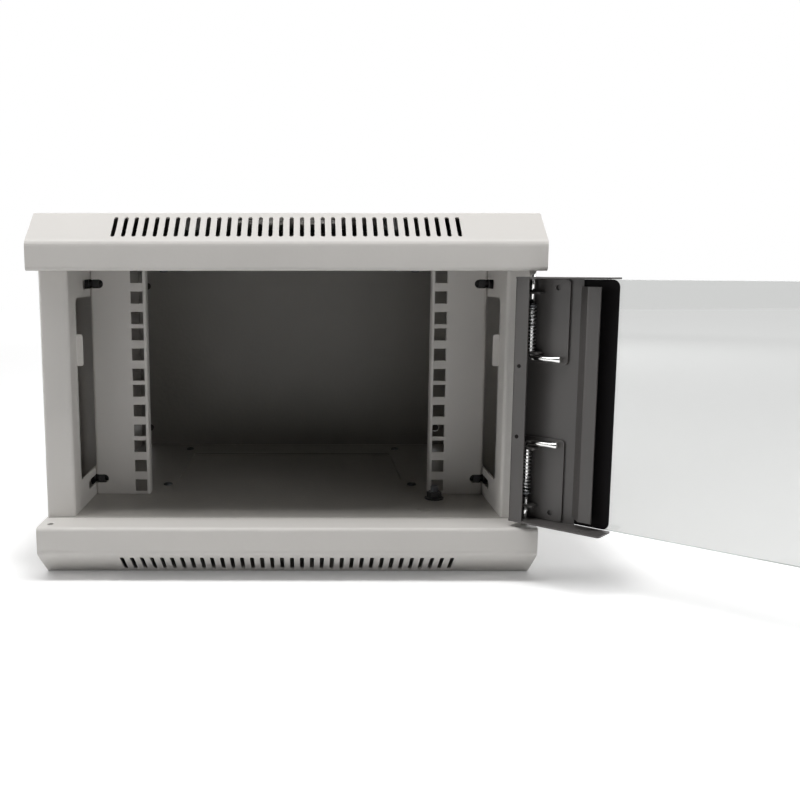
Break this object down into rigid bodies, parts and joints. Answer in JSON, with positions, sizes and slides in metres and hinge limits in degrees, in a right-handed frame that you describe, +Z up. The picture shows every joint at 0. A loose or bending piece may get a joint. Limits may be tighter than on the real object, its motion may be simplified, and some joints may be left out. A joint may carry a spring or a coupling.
{
  "type": "wall mount network cabinet",
  "caption": "Small wall cabinet for 10-inch rack devices: sheet steel, slotted noses, side windows, square-hole rails and a glass door on spring pins.",
  "frame": {"origin": "centre of the four wall fixing holes, on the rear face of the back panel", "axes": "+X to the right seen from the front, +Y from the front into the wall, +Z up; rest pose has the door open by 138 degrees"},
  "size_m": [0.6052, 0.5529, 0.2566],
  "materials": {
    "grey_shell": "light grey powder coat, fine orange peel",
    "grey_inner": "light grey powder coat, fine orange peel",
    "dark_grey_steel": "dark grey powder coat",
    "zinc_screw": "zinc plated",
    "black_steel": "black oxide",
    "bright_steel": "nickel plated, bright",
    "door_glass": "clear toughened glass, dark printed band at the stiles"
  },
  "bodies": {
    "cabinet": {"roof_shell": "grey_shell", "base_shell": "grey_shell", "ceiling_pan": "grey_inner", "floor_pan": "grey_inner", "side_frame_left": "grey_shell", "side_frame_right": "grey_shell", "side_cover_left": "grey_shell", "side_cover_right": "grey_shell", "back_panel": "grey_inner", "cable_plate_bottom": "grey_inner", "cable_plate_top": "grey_inner", "cable_plate_screws": "zinc_screw", "frame_screws": "zinc_screw", "cover_screws": "zinc_screw", "earth_stud": "zinc_screw", "earth_washer": "black_steel", "earth_nut": "black_steel"},
    "rail_left_set": {"rail_left": "grey_inner", "rail_bolts_left": "black_steel", "rail_nuts_left": "black_steel"},
    "rail_right_set": {"rail_right": "grey_inner", "rail_bolts_right": "black_steel", "rail_nuts_right": "black_steel"},
    "door": {"door_glass": "door_glass", "hinge_stile": "dark_grey_steel", "lock_stile": "dark_grey_steel", "hinge_bracket_upper": "dark_grey_steel", "hinge_bracket_lower": "dark_grey_steel", "hinge_spring_upper": "bright_steel", "hinge_spring_lower": "bright_steel", "lock_body": "bright_steel", "lock_nut": "zinc_screw"},
    "upper_pin": {"hinge_pin_upper": "bright_steel", "hinge_washer_upper": "zinc_screw", "hinge_clip_upper": "black_steel"},
    "lower_pin": {"hinge_pin_lower": "bright_steel", "hinge_washer_lower": "zinc_screw", "hinge_clip_lower": "black_steel"},
    "lock_rotor": {"lock_plug": "bright_steel", "lock_cam": "zinc_screw", "cam_screw": "zinc_screw"}
  },
  "joints": [
    {"name": "door_hinge", "type": "hinge", "parent": "cabinet", "child": "door", "pos_m": [0.1676, -0.3095, 0], "axis": [0, 0, 1], "range_deg": [-138, 42]},
    {"name": "upper_pin_slide", "type": "slide", "parent": "door", "child": "upper_pin", "axis": [0, 0, -1], "range_m": [0, 0.008], "stiffness_N_per_m": 400, "springref_m": -0.012, "deforming": ["hinge_spring_upper"]},
    {"name": "lower_pin_slide", "type": "slide", "parent": "door", "child": "lower_pin", "axis": [0, 0, 1], "range_m": [0, 0.008], "stiffness_N_per_m": 400, "springref_m": -0.012, "deforming": ["hinge_spring_lower"]},
    {"name": "lock_turn", "type": "hinge", "parent": "door", "child": "lock_rotor", "pos_m": [0.39463, -0.51392, 0.031], "axis": [-0.6691, -0.7431, 0], "range_deg": [0, 90]},
    {"name": "rail_left_slide", "type": "slide", "parent": "cabinet", "child": "rail_left_set", "axis": [0, 1, 0], "range_m": [-0.026, 0.155]},
    {"name": "rail_right_slide", "type": "slide", "parent": "cabinet", "child": "rail_right_set", "axis": [0, 1, 0], "range_m": [-0.006, 0.155]}
  ]
}
